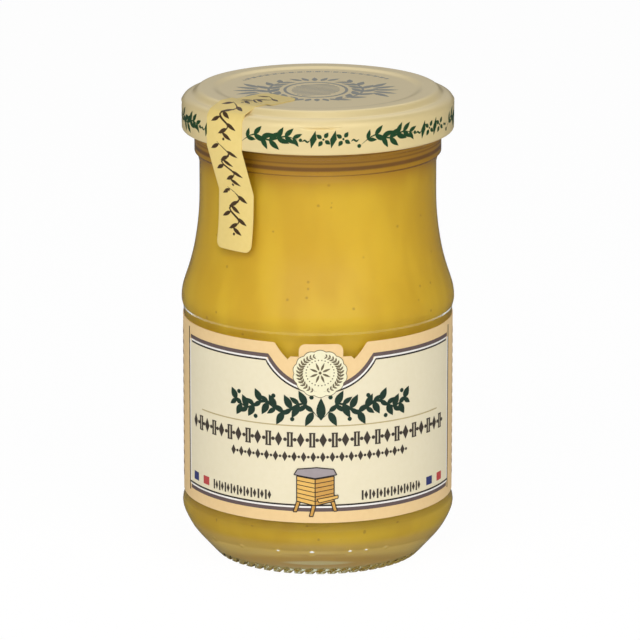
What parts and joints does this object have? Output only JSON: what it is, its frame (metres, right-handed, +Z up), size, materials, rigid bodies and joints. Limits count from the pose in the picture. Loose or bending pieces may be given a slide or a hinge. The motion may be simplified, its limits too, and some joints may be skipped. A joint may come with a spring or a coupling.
{
  "type": "mustard jar",
  "caption": "Round waisted glass jar of mustard with a twist-off metal lid, a wrapped paper label with a shaped top edge and a paper seal strip over the lid.",
  "frame": {"origin": "centre of the base, on the plane the jar stands on", "axes": "+Z up along the jar's axis; -Y is the front, which the middle of the label faces; +X to the right seen from the front"},
  "size_m": [0.0616, 0.0616, 0.1071],
  "materials": {
    "clear_glass": "polished clear soda-lime glass",
    "mustard": "smooth wet paste",
    "lid_lacquer": "glossy cream lacquer on tinplate",
    "label_paper": "satin coated paper",
    "strip_paper": "satin paper"
  },
  "bodies": {
    "root": {"glass_jar": "clear_glass", "mustard": "mustard", "lid": "lid_lacquer", "paper_label": "label_paper", "seal_strip": "strip_paper"}
  },
  "joints": []
}
